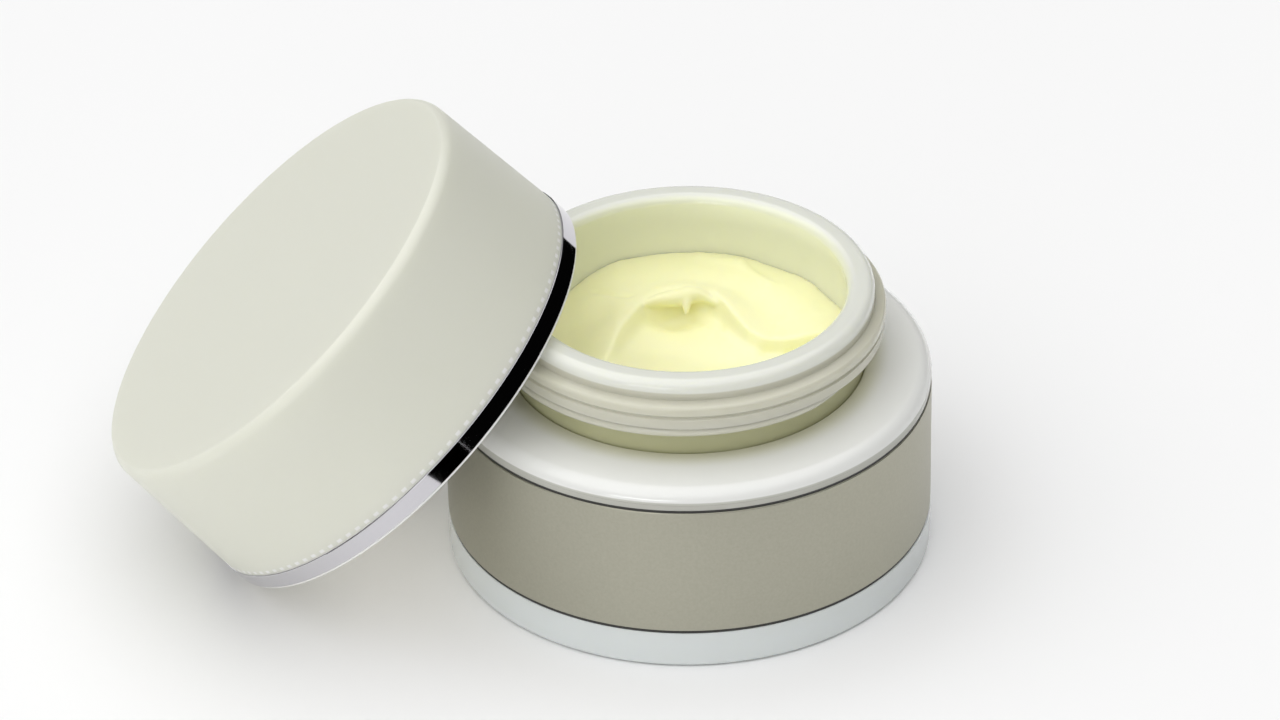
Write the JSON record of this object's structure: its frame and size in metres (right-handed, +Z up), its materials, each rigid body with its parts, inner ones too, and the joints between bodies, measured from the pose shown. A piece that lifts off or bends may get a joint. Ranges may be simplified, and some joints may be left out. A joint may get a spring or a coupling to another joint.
{
  "type": "cosmetic cream jar",
  "caption": "Open round cream jar with a satin metal sleeve, opal threaded neck and pale cream; its frosted screw lid leans against it.",
  "frame": {"origin": "centre of the jar's base, on the jar's axis and on the surface it stands on", "axes": "+Z up along the jar's axis; the lid leans on the jar's -X side with its open edge towards +X; -Y is the side that shows the open lid edge and the cream"},
  "size_m": [0.1046, 0.0622, 0.0582],
  "materials": {
    "shell_acrylic": "polished thick acrylic, milky lavender white",
    "satin_metal": "fine satin champagne grey",
    "dark_seam": "dark shadow-gap ring",
    "collar_gloss": "polished white",
    "opal_cup": "polished translucent opal white",
    "cream": "soft glossy pale yellow cream",
    "frosted_lid": "frosted translucent acrylic, light warm grey",
    "mirror_trim": "mirror bright",
    "cap_white": "white moulded polypropylene",
    "liner_foam": "fine closed-cell white foam"
  },
  "bodies": {
    "jar": {"outer_shell": "shell_acrylic", "satin_sleeve": "satin_metal", "lower_seam_ring": "dark_seam", "upper_seam_ring": "dark_seam", "shoulder_collar": "collar_gloss", "inner_cup": "opal_cup", "cream": "cream"},
    "lid": {"lid_shell": "frosted_lid", "lid_trim_ring": "mirror_trim", "lid_inner_cap": "cap_white", "lid_liner": "liner_foam"}
  },
  "joints": [
    {"name": "lid_lift", "type": "slide", "parent": "jar", "child": "lid", "axis": [0, 0, 1], "range_m": [0, 0.08]}
  ]
}
